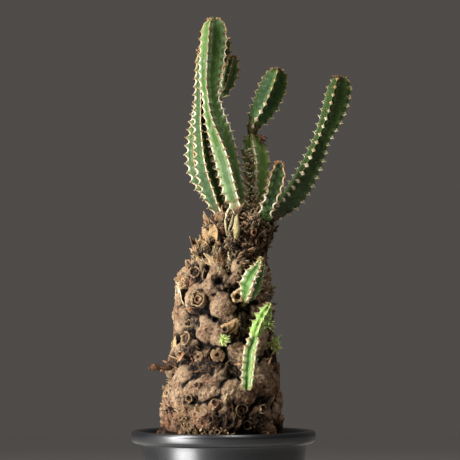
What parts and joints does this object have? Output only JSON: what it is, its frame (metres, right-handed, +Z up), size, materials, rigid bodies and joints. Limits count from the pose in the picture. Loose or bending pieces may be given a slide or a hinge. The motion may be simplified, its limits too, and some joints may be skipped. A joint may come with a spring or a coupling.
{
  "type": "potted caudex succulent",
  "caption": "Lumpy woody caudex with scarred, flaking bark, crowned by upright four-angled spiny green stems, in a round dark plastic nursery pot.",
  "frame": {"origin": "centre of the pot's underside, on the plane it stands on", "axes": "+Z up along the pot's axis, +X to the right and -Y towards the viewer of the pictured side, where the long right-hand stem leans to +X"},
  "size_m": [0.1793, 0.15, 0.465],
  "materials": {
    "pot_plastic": "satin moulded dark grey plastic",
    "soil": "dry crumbly potting mix",
    "caudex_bark": "dry, cracked and flaking bark",
    "stem_skin": "smooth waxy green skin",
    "shoot_skin": "smooth young light green skin"
  },
  "bodies": {
    "root": {"pot": "pot_plastic", "soil": "soil", "caudex": "caudex_bark", "stem_tall": "stem_skin", "stem_left": "stem_skin", "stem_rear": "stem_skin", "stem_rear_side": "stem_skin", "stem_fork_lower": "stem_skin", "stem_fork_upper": "stem_skin", "stem_short": "stem_skin", "stem_right": "stem_skin", "shoot_flank": "shoot_skin", "shoot_hanging": "shoot_skin", "bud_rosette": "shoot_skin", "tuft_upper_right": "shoot_skin", "tuft_lower_right": "shoot_skin"}
  },
  "joints": []
}
